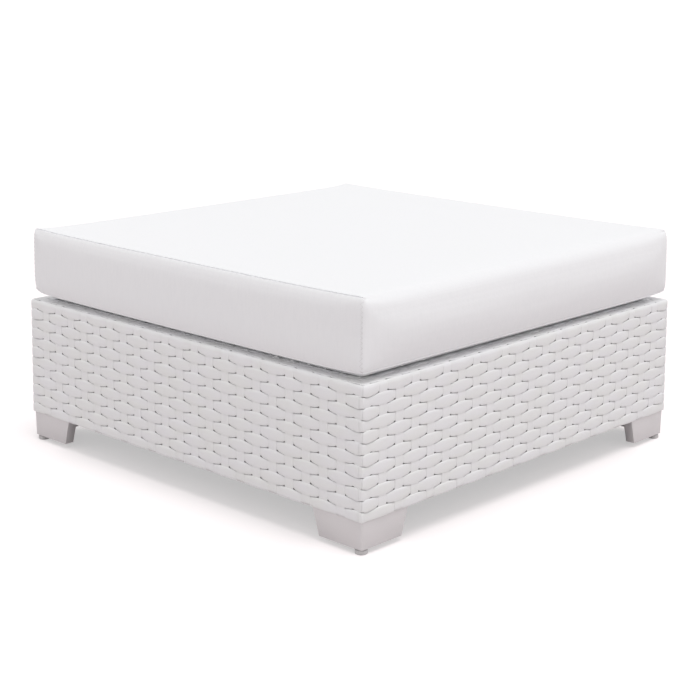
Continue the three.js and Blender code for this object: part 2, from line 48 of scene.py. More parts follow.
CORNERS = ("front_left", "front_right", "back_right", "back_left")
QUARTER = math.pi / 2

# Sizes read from the frame
woven_low, woven_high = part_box("woven_front")
_, deck_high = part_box("woven_deck")
cover_low, cover_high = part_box("cushion_cover")
tape_low, tape_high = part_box("zip_tape")
WEAVE_BOTTOM = woven_low[2]
WEAVE_HEIGHT = woven_high[2] - woven_low[2]
HALF = -woven_low[1]
LIP = woven_high[1] - woven_low[1]
DECK_HALF = deck_high[0]
DECK_TOP = deck_high[2]

# Weave, in the same courses and stakes as the solids
COURSES = 13
STAKES = 21
CORNER_MARGIN = 50 * MM
EDGE_RADIUS = 5.5 * MM
STRAIGHT = WEAVE_HEIGHT - EDGE_RADIUS
ARC = EDGE_RADIUS * QUARTER
TRAVEL = STRAIGHT + ARC + LIP - EDGE_RADIUS
COURSE = 19.15 * MM
BOTTOM_TRIM = 1.9 * MM
LIP_COURSE = 19.2 * MM
COURSE_EDGES = np.array([0, *(np.arange(1, COURSES - 1) * COURSE - BOTTOM_TRIM), TRAVEL - LIP_COURSE, TRAVEL])
REACH = HALF - CORNER_MARGIN
PITCH = 2 * REACH / (STAKES - 1)

# Strap
STRAP_THICKNESS = 1.2 * MM
STRAP_GAP = 0.3 * MM
STRAP_TUCK = 1.2 * MM
STRAP_SWELL = 1.6 * MM
STRAP_CROWN = 0.45 * MM
STRAP_WAVE = 1.0 * MM
STRAP_NOTCH = 1.35 * MM
NOTCH_OFFSET = 1.0 * MM
NOTCH_REACH = 2.4 * MM
CORNER_NOTCH = 0.3
LIP_NOTCH = 2.4 * MM
CORNER_EASE = 0.35
LIP_CALM = 0.3
TOP_CALM = 0.75
LINER_DEPTH = 4.0 * MM
LINER_THICKNESS = 0.4 * MM
LINER_START = 1 * MM
STAKE_HALF = 10 * MM
STAKE_FRONT = 1.25 * MM
STAKE_WAVE = 0.5 * MM
STAKE_CROWN = 0.6 * STRAP_CROWN
STAKE_STEPS = 4
FOLD_RADIUS = 4 * MM
TIGHTEST_FOLD = 0.3 * MM
FOLD_CREASE_ANGLE = 0.4
CREASE_DEPTH = 1.0 * MM
CREASE_REACH = 0.8 * MM
CREASE_OFFSET = 9.5 * MM

# Where a strap is shaped along one pitch of stakes, as shares of the pitch
PITCH_PLACES = np.array([-0.5, -0.375, -0.295, -0.25, -0.205, -0.125, 0, 0.125, 0.205, 0.25, 0.295, 0.375])

# And beyond the last stake: shares of the way to the corner's arc, then shares of the quarter turn round it
CORNER_SHARES = (0.164, 0.2, 0.236, 0.3, 0.4, 0.5, 0.6, 0.7, 0.8, 0.87, 0.93)
FOLD_ANGLES = (0.0, 0.25, FOLD_CREASE_ANGLE, 0.5, 0.6, 0.75, 1.0)

# An upright strap's section: shares of the half width, and depths in thicknesses
RING_ACROSS = np.array([-0.95, -0.82, -0.4, 0, 0.4, 0.82, 0.95, 1, 0.95, 0, -0.95, -1])
RING_DEPTH = np.array([0.24, 0.02, 0, 0, 0, 0.02, 0.24, 0.6, 0.9, 1, 0.9, 0.6])
RING = len(RING_ACROSS)

# A course's section, from its crisp lower edge to its rounder upper edge and back
COURSE_ACROSS = np.array([-0.985, -0.93, -0.5, 0, 0.5, 0.79, 0.89, 0.96, 1, 0.96, 0.3, -0.3, -0.96, -1])
COURSE_DEPTH = np.array([0.12, 0.0, 0, 0, 0, 0.06, 0.3, 0.66, 1.05, 1.1, 1, 1, 1, 0.55])
COURSE_RING = len(COURSE_ACROSS)


# Meshes and materials

THREAD_SPACING = 1.1 * MM


def placed(name, data):
    """A new object with this data, in the scene."""
    made = bpy.data.objects.new(name, data)
    bpy.context.scene.collection.objects.link(made)
    return made


def add_mesh(name, points, faces, looks, smooth=True):
    """A piece in the scene from its points, faces and material."""
    mesh = bpy.data.meshes.new(name)
    mesh.from_pydata(np.asarray(points).tolist(), [], [tuple(face) for face in faces])
    mesh.polygons.foreach_set("use_smooth", [smooth] * len(mesh.polygons))
    mesh.update()
    mesh.materials.append(looks)
    return placed(name, mesh)


def gather(parts):
    """Several (points, faces) as one."""
    points, faces, start = [], [], 0
    for part_points, part_faces in parts:
        points.append(np.asarray(part_points, float))
        faces.append(np.asarray(part_faces, int) + start)
        start += len(part_points)
    return np.concatenate(points), np.concatenate(faces)


def ribbon_faces(rows, ring, closed):
    """Quads of a tube of rows of ring points."""
    row = np.arange(rows if closed else rows - 1)[:, None] * ring
    following = (row + ring) % (rows * ring)
    i = np.arange(ring)[None, :]
    j = (i + 1) % ring
    return np.stack([row + i, following + i, following + j, row + j], axis=-1).reshape(-1, 4)


def end_faces(rows, ring):
    """Quads that close both ends of an open tube whose ring is even."""
    made = []
    for start, order in ((0, 1), ((rows - 1) * ring, -1)):
        for k in range(ring // 2 - 1):
            quad = [start + k, start + k + 1, start + ring - 2 - k, start + ring - 1 - k]
            made.append(quad[::order])
    return np.array(made)


def turned(points, quarter_turns):
    """Points turned about Z by a number of quarter turns."""
    c, s = math.cos(quarter_turns * QUARTER), math.sin(quarter_turns * QUARTER)
    x, y, z = np.moveaxis(points, -1, 0)
    return np.stack([x * c - y * s, x * s + y * c, z], axis=-1)


class Looks:
    """A material being built: shorthand for its nodes and links."""

    def __init__(self, name, color, roughness, metallic=0.0):
        self.material = bpy.data.materials.new(name)
        self.material.use_nodes = True
        self.tree = self.material.node_tree
        self.shader = self.tree.nodes["Principled BSDF"]
        self.shader.inputs["Base Color"].default_value = (*color, 1)
        self.shader.inputs["Roughness"].default_value = roughness
        self.shader.inputs["Metallic"].default_value = metallic
        self.place = self.node("ShaderNodeTexCoord").outputs["Object"]
        self.normal = None

    def node(self, kind, **inputs):
        made = self.tree.nodes.new(kind)
        for name, value in inputs.items():
            made.inputs[name.replace("_", " ")].default_value = value
        return made

    def link(self, output, target):
        self.tree.links.new(output, target)

    def noise(self, scale, detail=3.0, stretch=None):
        made = self.node("ShaderNodeTexNoise", Scale=scale, Detail=detail)
        self.link(self.stretched(stretch), made.inputs["Vector"])
        return made.outputs["Fac"]

    def stretched(self, stretch):
        if stretch is None:
            return self.place
        made = self.node("ShaderNodeMapping", Scale=stretch)
        self.link(self.place, made.inputs["Vector"])
        return made.outputs["Vector"]

    def ranged(self, value, low, high, from_low=0.3, from_high=0.7):
        made = self.node("ShaderNodeMapRange", From_Min=from_low, From_Max=from_high, To_Min=low, To_Max=high)
        self.link(value, made.inputs["Value"])
        return made.outputs["Result"]

    def blended(self, value, first, second):
        """A colour between two, by a value from 0 to 1."""
        made = self.node("ShaderNodeMix")
        made.data_type = "RGBA"
        self.link(value, made.inputs[0])
        for socket, color in ((made.inputs[6], first), (made.inputs[7], second)):
            if isinstance(color, tuple):
                socket.default_value = (*color, 1)
            else:
                self.link(color, socket)
        return made.outputs[2]

    def color(self, output):
        self.link(output, self.shader.inputs["Base Color"])

    def roughness(self, output):
        self.link(output, self.shader.inputs["Roughness"])

    def bump(self, height, distance, strength=1.0):
        made = self.node("ShaderNodeBump", Distance=distance, Strength=strength)
        self.link(height, made.inputs["Height"])
        if self.normal is not None:
            self.link(self.normal, made.inputs["Normal"])
        self.normal = made.outputs["Normal"]
        self.link(self.normal, self.shader.inputs["Normal"])


def plastic_strap_looks():
    """Flat resin strap: satin, with faint lengthwise grain and a slight change of shade from strap to strap."""
    looks = Looks("wicker", (0.80, 0.785, 0.79), 0.42)
    patch = looks.ranged(looks.noise(16, 1.0, (1, 1, 3)), 0, 1, 0.35, 0.65)
    looks.color(looks.blended(patch, (0.824, 0.826, 0.822), (0.830, 0.828, 0.844)))
    looks.roughness(looks.ranged(looks.noise(60), 0.36, 0.5))
    looks.bump(looks.noise(900, 3.0, (0.12, 0.12, 1)), 0.0001, 0.5)
    looks.bump(looks.noise(45, 2.0), 0.0006, 0.25)
    return looks.material


def cloth_looks():
    """White outdoor canvas: a fine plain weave along all three directions, slubs and a soft sheen."""
    looks = Looks("cushion_cloth", (0.86, 0.865, 0.875), 0.85)
    looks.shader.inputs["Sheen Weight"].default_value = 0.25
    looks.shader.inputs["Sheen Roughness"].default_value = 0.5
    looks.shader.inputs["Specular IOR Level"].default_value = 0.25
    threads = []
    for axis in "XYZ":
        wave = looks.node("ShaderNodeTexWave", Scale=1 / (2 * math.pi * THREAD_SPACING), Distortion=0.6, Detail=1.0)
        wave.inputs["Detail Scale"].default_value = 2.0
        wave.bands_direction = axis
        looks.link(looks.place, wave.inputs["Vector"])
        threads.append(wave.outputs["Fac"])
    total = threads[0]
    for extra in threads[1:]:
        both = looks.node("ShaderNodeMath")
        looks.link(total, both.inputs[0])
        looks.link(extra, both.inputs[1])
        total = both.outputs["Value"]
    looks.bump(total, 0.00012, 0.35)
    looks.bump(looks.noise(28, 2.0), 0.0012, 0.16)
    slub = looks.ranged(looks.noise(220, 2.0, (1, 1, 0.2)), 0, 1, 0.4, 0.75)
    looks.color(looks.blended(slub, (0.862, 0.862, 0.877), (0.846, 0.847, 0.863)))
    return looks.material


def foam_looks():
    """Open-celled foam: fine pores and uneven yellowing."""
    looks = Looks("foam", (0.86, 0.80, 0.62), 0.95)
    cells = looks.node("ShaderNodeTexVoronoi", Scale=700)
    looks.link(looks.place, cells.inputs["Vector"])
    looks.bump(cells.outputs["Distance"], 0.0005, 0.8)
    looks.color(looks.blended(looks.noise(35), (0.88, 0.83, 0.66), (0.82, 0.75, 0.56)))
    return looks.material


def painted_metal_looks(name, color, second, roughness, metallic, grain):
    """Powder-coated metal: fine orange peel and a faint change of shade."""
    looks = Looks(name, color, roughness, metallic)
    looks.color(looks.blended(looks.ranged(looks.noise(9), 0, 1), color, second))
    looks.roughness(looks.ranged(looks.noise(130), roughness - 0.05, roughness + 0.06))
    looks.bump(looks.noise(grain, 2.0), 0.00012, 0.35)
    return looks.material


def steel_looks():
    """Zinc-plated steel with turning marks and dull patches."""
    looks = Looks("steel", (0.62, 0.63, 0.65), 0.3, 1.0)
    looks.color(looks.blended(looks.noise(150), (0.66, 0.67, 0.69), (0.50, 0.51, 0.52)))
    looks.roughness(looks.ranged(looks.noise(420), 0.22, 0.42))
    looks.bump(looks.noise(1500, 2.0, (0.1, 0.1, 1)), 0.00008, 0.5)
    return looks.material


def moulded_plastic_looks(name, color, second, roughness):
    """Moulded plastic with a spark-eroded grain and faint flow marks."""
    looks = Looks(name, color, roughness)
    looks.color(looks.blended(looks.noise(70, 4.0), color, second))
    looks.roughness(looks.ranged(looks.noise(300), roughness - 0.06, roughness + 0.06))
    looks.bump(looks.noise(1800, 2.0), 0.00006, 0.5)
    return looks.material


# Weave

def skin(travel):
    """Out, up and the outward normal of a panel's skin: up the face, round the edge, in along the lip."""
    turn = np.clip((travel - STRAIGHT) / EDGE_RADIUS, 0, QUARTER)
    lip = np.maximum(travel - STRAIGHT - ARC, 0)
    out = EDGE_RADIUS * (np.cos(turn) - 1) - lip
    up = np.clip(travel, None, STRAIGHT) + EDGE_RADIUS * np.sin(turn)
    return out, up, np.cos(turn), np.sin(turn)


def is_over(side, stake, course):
    """True where a course passes in front of a stake. The order carries on round the corners."""
    return (stake + course + side) % 2 == 0


def strap_state(side, along, course):
    """How far a course is over (1) or under (-1) at places along a side. It is even at the very corner."""
    first = 1 if is_over(side, 0, course) else -1
    place = (along + REACH) / PITCH
    beyond = np.maximum(np.abs(along) - REACH, 0)
    turn = np.interp(beyond, [0, PITCH, CORNER_MARGIN], [0, math.pi, math.pi + QUARTER])
    end_state = np.where(along > 0, np.cos(math.pi * (STAKES - 1)), 1) * np.cos(turn)
    return first * np.where(beyond > 0, end_state, np.cos(math.pi * place))


def stake_edge_closeness(along, one_edge=False):
    """1 where a strap meets the edges of a stake, or one of them, falling to 0 around it. Less at the corner."""
    place = (along + REACH) / PITCH
    nearest = np.clip(np.round(place), -1, STAKES)
    from_middle = (place - nearest) * PITCH
    from_edge = (from_middle if one_edge else np.abs(from_middle)) - STAKE_HALF - NOTCH_OFFSET
    return np.exp(-((from_edge / NOTCH_REACH) ** 2)) * np.where(np.abs(along) > REACH + PITCH, CORNER_NOTCH, 1)


def side_samples(course, side):
    """Samples along one side, as along, share of the way to the corner's arc, angle round the arc, and crease."""
    centres = np.linspace(-REACH, REACH, STAKES)
    places = (centres[:, None] + PITCH_PLACES * PITCH).ravel()
    middle = [(x, 0.0, -1.0, 0.0) for x in places[np.abs(places) < REACH + 0.01 * MM]]
    before = [(-REACH, -share, -1.0, 0.0) for share in reversed(CORNER_SHARES)]
    after = [(REACH, share, -1.0, 0.0) for share in CORNER_SHARES]
    on_fold = (course + side) % 2 == 0
    arc = [(REACH, 1.0, angle * QUARTER, float(on_fold and angle == FOLD_CREASE_ANGLE)) for angle in FOLD_ANGLES]
    if not on_fold:
        span = CORNER_MARGIN - FOLD_RADIUS
        at = 1 - (CREASE_OFFSET - FOLD_RADIUS) / span
        step = CREASE_REACH / span
        creased = [(REACH, at + k * step, -1.0, float(k == 0)) for k in (-1, 0, 1)]
        after = sorted([row for row in after if abs(row[1] - at) > 1.5 * step] + creased)
    return np.array(before + middle + after + arc)


def course_calm(course):
    """The share of its wave that a course keeps, across its width: the lip and the edge into it lie calm."""
    if course == COURSES - 1:
        return np.full(COURSE_RING, LIP_CALM)
    if course == COURSES - 2:
        return 1 - TOP_CALM * np.clip(COURSE_ACROSS, 0, 1)
    return np.ones(COURSE_RING)


def course_strap(course):
    """One strap right round the base."""
    rows = []
    middle = (COURSE_EDGES[course] + COURSE_EDGES[course + 1]) / 2
    half_width = (COURSE_EDGES[course + 1] - COURSE_EDGES[course]) / 2
    for side in range(4):
        along, share, angle, crease = side_samples(course, side).T
        full = along + share * CORNER_MARGIN
        state = strap_state(side, full, course)
        notch = STRAP_NOTCH * stake_edge_closeness(full) * (1 - state)
        half = half_width + STRAP_SWELL * state - STRAP_GAP
        straight_edge = np.full_like(half, half_width)
        upper = half if course < COURSES - 2 else straight_edge
        lower = straight_edge
        if course == COURSES - 1:
            lower = straight_edge - LIP_NOTCH * stake_edge_closeness(full, one_edge=True)
        elif course > 0:
            by_corner = np.abs(full) > REACH + PITCH / 2
            lower = half - notch + STRAP_TUCK * np.clip(-state, 0, 1) * by_corner
        across = np.where(COURSE_ACROSS > 0, upper[:, None], lower[:, None]) * COURSE_ACROSS
        easing = 1 - CORNER_EASE * np.clip((np.abs(full) - REACH) / CORNER_MARGIN, 0, 1)
        wave = (STRAP_WAVE * easing * (state - 1))[:, None] * course_calm(course)
        crown = STRAP_CROWN * COURSE_ACROSS ** 2
        inward = wave - (CREASE_DEPTH * crease)[:, None] - COURSE_DEPTH * STRAP_THICKNESS - crown
        out, up, outward, upward = skin(middle + across)
        out = out + inward * outward
        up = up + inward * upward
        radius = np.maximum(FOLD_RADIUS + out, TIGHTEST_FOLD)
        centre = HALF + out - radius
        sign = np.sign(share)[:, None]
        straight = along[:, None] + sign * np.abs(share)[:, None] * (centre - REACH)
        turning = (angle >= 0)[:, None]
        bend = np.maximum(angle, 0)[:, None]
        x = np.where(turning, centre + radius * np.sin(bend), straight)
        y = -np.where(turning, centre + radius * np.cos(bend), HALF + out)
        rows.append(turned(np.stack([x, y, WEAVE_BOTTOM + up], axis=-1), side))
    points = np.concatenate(rows)
    return points.reshape(-1, 3), ribbon_faces(len(points), COURSE_RING, closed=True)


def stake_strap(side, stake):
    """One upright stake of a side, from the bottom edge up and in over the top edge."""
    steps = COURSES * STAKE_STEPS
    travel = np.linspace(0, TRAVEL, steps + 1)[:, None]
    first = 1 if is_over(side, stake, 0) else -1
    state = -first * np.cos(math.pi * (np.interp(travel, COURSE_EDGES, np.arange(COURSES + 1)) - 0.5))
    depth = STAKE_WAVE * state - STAKE_FRONT
    inward = depth - RING_DEPTH * STRAP_THICKNESS - STAKE_CROWN * RING_ACROSS ** 2
    out, up, outward, upward = skin(travel)
    out = out + inward * outward
    up = up + inward * upward
    x = -REACH + stake * PITCH - STAKE_HALF * RING_ACROSS + 0 * out
    points = turned(np.stack([x, -(HALF + out), WEAVE_BOTTOM + up], axis=-1), side)
    faces = np.concatenate([ribbon_faces(steps + 1, RING, closed=False), end_faces(steps + 1, RING)])
    return points.reshape(-1, 3), faces


def liner():
    """A thin sheet close behind the straps, right round the base, so that no daylight shows between them. Its dark
    colour is painted shade, which makes the gaps and notches between the straps look dark.
    """
    travel = np.array([LINER_START, STRAIGHT, STRAIGHT + ARC / 2, STRAIGHT + ARC, TRAVEL])
    out, up, outward, upward = skin(travel)
    depths = (LINER_DEPTH, LINER_DEPTH + LINER_THICKNESS)
    front, back = (np.stack([out - depth * outward, up - depth * upward]) for depth in depths)
    out, up = np.concatenate([front, back[:, ::-1]], axis=1)
    corner = np.stack([HALF + out, -HALF - out, WEAVE_BOTTOM + up], axis=-1)
    points = np.concatenate([turned(corner[None], side) for side in range(4)])
    return points.reshape(-1, 3), ribbon_faces(4, corner.shape[0], closed=True)


def painted_shade_liner(looks):
    """The liner behind the straps, as a piece of its own, dark as painted shade for the gaps between the straps."""
    made = add_mesh("painted_shade_liner", *liner(), looks, smooth=False)
    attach(made, "base")


def weave_sides(looks):
    """The four sides: every course and stake as its own strap, in one mesh."""
    parts = [course_strap(course) for course in range(COURSES)]
    parts += [stake_strap(side, stake) for side in range(4) for stake in range(STAKES)]
    made = add_mesh("weave_sides", *gather(parts), looks)
    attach(made, "base")
    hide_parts(*("woven_" + side for side in SIDES))


def deck_strap(place, half, depth_at, across_y):
    """One strap across the deck, along X, or along Y where across_y is true."""
    count = (STAKES - 1) * STAKE_STEPS
    along = np.linspace(-DECK_HALF, DECK_HALF, count + 1)
    depth = depth_at(along)
    inward = depth[:, None] - RING_DEPTH * STRAP_THICKNESS - STRAP_CROWN * RING_ACROSS ** 2
    across = place + half * RING_ACROSS + 0 * inward
    first = along[:, None] + 0 * inward
    x, y = (-across, first) if across_y else (first, across)
    points = np.stack([x, y, DECK_TOP + inward], axis=-1)
    faces = np.concatenate([ribbon_faces(count + 1, RING, closed=False), end_faces(count + 1, RING)])
    return points.reshape(-1, 3), faces


def weave_deck(looks):
    """The deck: the side stakes carry on across it, with level straps woven through them."""
    count = round(2 * DECK_HALF / COURSE)
    course = 2 * DECK_HALF / count
    parts = []
    for i in range(count):
        sign = 1 if i % 2 else -1
        parts.append(deck_strap(
            (i + 0.5) * course - DECK_HALF, course / 2 - STRAP_GAP,
            lambda s, sign=sign: STRAP_WAVE * (sign * np.cos(math.pi * s / PITCH) - 1), False,
        ))
    for stake in range(STAKES):
        sign = 1 if stake % 2 else -1
        parts.append(deck_strap(
            stake * PITCH - REACH, STAKE_HALF,
            lambda s, sign=sign: STAKE_WAVE * sign * np.cos(math.pi * s / course) - STAKE_FRONT, True,
        ))
    made = add_mesh("weave_deck", *gather(parts), looks)
    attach(made, "base")
    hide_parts("woven_deck")


# Cushion

SEAT_HALF = cover_high[0] - 4 * MM
SEAT_LOW = cover_low[2]
HEM_HEIGHT = 12 * MM
BOX_LOW = SEAT_LOW + HEM_HEIGHT
BOX_SIDE = 137.3 * MM - HEM_HEIGHT
SEAT_CROWN = 10 * MM
SEAT_DRAW_IN = 2 * MM
CORNER_DRAW_IN = 3.5 * MM
SIDE_BULGE = 8 * MM
FRONT_BULGE = 12 * MM
BACK_BULGE = 2 * MM
CORNER_BULGE = 0.85
FRONT_LIFT = 3 * MM
CORNER_LIFT = 4 * MM
SIDE_DIP = 2 * MM
SEAM_LIFT = 1.8 * MM
EAR_LIFT = 3.2 * MM
UNDER_REACH = 22 * MM
BACK_FOLD = 38 * MM
TOP_SEAM_DEPTH = 3.8 * MM
SEAM_DEPTH = 0.15 * MM
HEM_GROOVE_DEPTH = 2.0 * MM
SEAM_OFFSET = 4 * MM
HEM_RIDGE = 1.5 * MM
ZIP_HALF_LENGTH = 310.5 * MM
ZIP_FLOOR = tape_low[1] - 0.3 * MM
ZIP_MIDDLE = (tape_low[2] + tape_high[2]) / 2
ZIP_RIM = 8.5 * MM
ZIP_WALL = 6.7 * MM
ZIP_SLOT = 5.5 * MM
ZIP_END = 0.7 * MM
ZIP_GAP = 11 * MM
ZIP_END_GAP = 4 * MM
ZIP_RIM_RISE = 0.8 * MM
BESIDE_SEAM_RISE = 0.3 * MM
BULGE_FROM_SEAM = 6 * MM
BULGE_FROM_HEM = 5 * MM
PUCKER_HEIGHT = 0.2 * MM
PUCKER_PLACE = 10 * MM
PUCKER_SPREAD = 5 * MM
PUCKER_REACH = 8 * MM
PUCKER_WAVES = ((1, 6.1 * MM, 1.3), (0.8, 9.7 * MM, 0.4), (0.6, 17.3 * MM, 0))
EDGE_BLEND = 2 * MM
FOAM_INSET = 5 * MM
FOAM_BEHIND_ZIP = 1 * MM
SETTLE_CAP = 2.5 * MM
SETTLE_FRAMES = 20
STITCH_PITCH = 8 * MM
STITCH_HALF_WIDTH = 2.6 * MM
STITCH_LENGTH = 4 * MM
STITCH_LIFT = 0.4 * MM
THREAD_RADIUS = 0.55 * MM
THREAD_RING = 6
OFF_ALL_SEAMS = (0.31, 0.93, 0.2)

# Radii along X, Y and Z at each kind of edge, in millimetres
EDGE_RADII = {
    "top_seam": (4, 4, 4),
    "top_fold": (14, 18, 18),
    "hem": (2.5, 2.5, 2.5),
    "bottom_back": (4, 6, 6),
    "front_corner": (7, 7, 6),
    "back_corner": (14, 14, 8),
}


def spaced(ends, length, step):
    """Places from 0 to a length: given distances in from both ends, and even steps between them."""
    count = math.ceil((length - 2 * ends[-1]) / step)
    middle = np.linspace(ends[-1], length - ends[-1], count + 1)
    return np.concatenate([ends[:-1], middle, (length - ends[:-1])[::-1]])


def cushion_lines():
    """Where the cushion's grid lines lie along X, Y and Z, in metres."""
    x_ends = np.array([0, 1.1, 2.8, 6, 11, 18, 26, 35, 44]) * MM
    y_ends = np.array([0, 2.4, 4, 5.6, 9, 13, 19, 27, 35, 44]) * MM
    z_ends = np.array([0, 1.4, 2.8, 4.2, 7.5, 12, 18, 25]) * MM
    x = spaced(x_ends, 2 * SEAT_HALF, 14 * MM) - SEAT_HALF
    x = x[np.abs(np.abs(x) - ZIP_HALF_LENGTH) > ZIP_END_GAP]
    stops = [sign * (ZIP_HALF_LENGTH + end) for sign in (-1, 1) for end in (-ZIP_END, ZIP_END)]
    y = spaced(y_ends, 2 * SEAT_HALF, 14 * MM) - SEAT_HALF
    z = spaced(z_ends, BOX_SIDE, 9 * MM) + BOX_LOW
    z = z[np.abs(z - ZIP_MIDDLE) > ZIP_GAP]
    rims = [ZIP_MIDDLE + d for d in (-ZIP_RIM, -ZIP_WALL, -ZIP_SLOT, 0, ZIP_SLOT, ZIP_WALL, ZIP_RIM)]
    return np.sort([*x, *stops]), y, np.sort([*z, *rims])


def box_grid(x, y, z):
    """The six faces of a box as one closed mesh of quads on these grid lines, and each point's line numbers."""
    index, cells, faces = {}, [], []

    def at(cell):
        if cell not in index:
            index[cell] = len(cells)
            cells.append(cell)
        return index[cell]

    counts = (len(x), len(y), len(z))
    for axis in range(3):
        u, v = (axis + 1) % 3, (axis + 2) % 3
        for end in (0, counts[axis] - 1):
            for i in range(counts[u] - 1):
                for j in range(counts[v] - 1):
                    quad = []
                    for di, dj in ((0, 0), (1, 0), (1, 1), (0, 1)):
                        cell = [0, 0, 0]
                        cell[axis], cell[u], cell[v] = end, i + di, j + dj
                        quad.append(at(tuple(cell)))
                    faces.append(quad if end else quad[::-1])
    cells = np.array(cells)
    points = np.stack([x[cells[:, 0]], y[cells[:, 1]], z[cells[:, 2]]], axis=-1)
    return points, np.array(faces), cells


def rounded(points):
    """The box's points moved onto rounded edges, and the outward direction at each."""
    x, y, z = points.T
    to_side, to_fold = SEAT_HALF - np.abs(x), SEAT_HALF - np.abs(y)
    to_top, to_bottom = BOX_LOW + BOX_SIDE - z, z - BOX_LOW
    to_front = np.where(y < 0, to_fold, 2 * SEAT_HALF)
    to_back = np.where(y > 0, to_fold, 2 * SEAT_HALF)
    closeness = {
        "top_seam": to_side + to_top,
        "top_fold": to_fold + to_top,
        "hem": np.minimum(to_side, to_front) + to_bottom,
        "bottom_back": to_back + to_bottom,
        "front_corner": to_side + to_front,
        "back_corner": to_side + to_back,
    }
    total = np.zeros(len(points))
    radii = np.zeros((len(points), 3))
    for edge, distance in closeness.items():
        weight = 1 / (distance + EDGE_BLEND) ** 3
        total += weight
        radii += weight[:, None] * np.array(EDGE_RADII[edge]) * MM
    radii /= total[:, None]
    middle = np.array([0, 0, BOX_LOW + BOX_SIDE / 2])
    size = np.array([SEAT_HALF, SEAT_HALF, BOX_SIDE / 2])
    local = points - middle
    core = np.clip(local, radii - size, size - radii)
    away = (local - core) / radii
    away /= np.linalg.norm(away, axis=1)[:, None]
    return middle + core + away * radii, away


def folded_under(points):
    """The points with the lower back edge folded round a large radius, on the sides too."""
    by_back = np.clip(1 - (SEAT_HALF - points[:, 1]) / BACK_FOLD, 0, 1)
    by_bottom = np.clip(1 - (points[:, 2] - BOX_LOW) / BACK_FOLD, 0, 1)
    folded = points.copy()
    folded[:, 1] -= BACK_FOLD * by_back * (1 - np.sqrt(1 - by_bottom ** 2 / 2))
    folded[:, 2] += BACK_FOLD * by_bottom * (1 - np.sqrt(1 - by_back ** 2 / 2))
    return folded


def eased(distance, reach):
    """0 at an edge, rising to 1 over a reach, ever more steeply."""
    return np.clip(distance / reach, 0, 1) ** 3


def shaped(points, away):
    """Crown, sagging underside, bulging sides and the slight puckers along the seams."""
    x, y, z = points.T
    u, v = np.minimum(np.abs(x) / SEAT_HALF, 1), np.minimum(np.abs(y) / SEAT_HALF, 1)
    level = np.clip((z - BOX_LOW) / BOX_SIDE, 0, 1)
    below_seam, above_hem = (1 - level) * BOX_SIDE, level * BOX_SIDE
    crown = SEAT_CROWN * (1 - u ** 3) * (1 - v ** 3) * np.clip(away[:, 2], 0, 1)
    sag = HEM_HEIGHT * eased(SEAT_HALF * (1 - u), UNDER_REACH) * eased(SEAT_HALF * (1 - v), UNDER_REACH)
    full = (1 - np.exp(-below_seam / BULGE_FROM_SEAM)) * (1 - np.exp(-above_hem / BULGE_FROM_HEM))
    side_bulge = SIDE_BULGE * full
    fold_bulge = np.where(y < 0, FRONT_BULGE, BACK_BULGE) * (1 - (2 * level - 1) ** 2)
    moved = points.copy()
    for axis, other, bulge in ((0, v, side_bulge), (1, u, fold_bulge)):
        at_corner = other ** 8
        draw_in = SEAT_DRAW_IN * (1 - other ** 6)
        push = bulge * (1 - at_corner) + (CORNER_BULGE * side_bulge - CORNER_DRAW_IN) * at_corner - draw_in
        moved[:, axis] += np.sign(points[:, axis]) * np.abs(away[:, axis]) * push
    moved[:, 2] += crown - sag * np.clip(-away[:, 2], 0, 1)
    forward, right, left = (np.clip(place / SEAT_HALF, 0, 1) for place in (-y, x, -x))
    front_lift = FRONT_LIFT * (0.5 - 0.5 * x / SEAT_HALF) * forward ** 12
    lift = front_lift + CORNER_LIFT * (forward * right) ** 16 - SIDE_DIP * left ** 12 * (1 - v ** 2)
    moved[:, 2] += lift * (1 - level) ** 2 + (SEAM_LIFT + EAR_LIFT * v ** 4) * u ** 14 * level ** 3
    pucker = sum(size * np.sin(y / length + start) for size, length, start in PUCKER_WAVES)
    fade = np.exp(-((below_seam - PUCKER_PLACE) / PUCKER_SPREAD) ** 2) * (np.abs(x) > SEAT_HALF - PUCKER_REACH)
    moved += away * (pucker * fade * PUCKER_HEIGHT)[:, None]
    return moved


def settled(points, faces, held):
    """Cloth under pressure with its seams held: each point's new place, moved no further than the cap."""
    made = add_mesh("cover_settling", points, faces, bpy.data.materials["cushion_cloth"])
    group = made.vertex_groups.new(name="held")
    group.add([int(i) for i in np.flatnonzero(held)], 1.0, "REPLACE")
    cloth = made.modifiers.new("cloth", "CLOTH")
    settings = cloth.settings
    settings.quality = 5
    settings.mass = 0.2
    settings.use_pressure = True
    settings.uniform_pressure_force = 4
    settings.vertex_group_mass = "held"
    settings.effector_weights.gravity = 0
    settings.tension_stiffness = 40
    settings.compression_stiffness = 40
    settings.bending_stiffness = 2
    cloth.point_cache.frame_start = 1
    cloth.point_cache.frame_end = SETTLE_FRAMES
    scene = bpy.context.scene
    for step in range(1, SETTLE_FRAMES + 1):
        scene.frame_set(step)
    mesh = made.evaluated_get(bpy.context.evaluated_depsgraph_get()).data
    after = np.zeros(len(mesh.vertices) * 3)
    mesh.vertices.foreach_get("co", after)
    bpy.data.objects.remove(made)
    scene.frame_set(1)
    shift = after.reshape(-1, 3) - points
    length = np.linalg.norm(shift, axis=1)[:, None]
    return points + shift * SETTLE_CAP / (SETTLE_CAP + length)


def thread(path, radius):
    """A round thread along a path, as points and quads."""
    angles = np.arange(THREAD_RING) * 2 * math.pi / THREAD_RING
    along = np.gradient(path, axis=0)
    along /= np.linalg.norm(along, axis=1)[:, None]
    side = np.cross(along, OFF_ALL_SEAMS)
    side /= np.linalg.norm(side, axis=1)[:, None]
    rise = np.cross(along, side)
    around = np.cos(angles)[None, :, None] * side[:, None] + np.sin(angles)[None, :, None] * rise[:, None]
    points = path[:, None] + radius * around
    faces = np.concatenate([ribbon_faces(len(path), THREAD_RING, closed=False), end_faces(len(path), THREAD_RING)])
    return points.reshape(-1, 3), faces


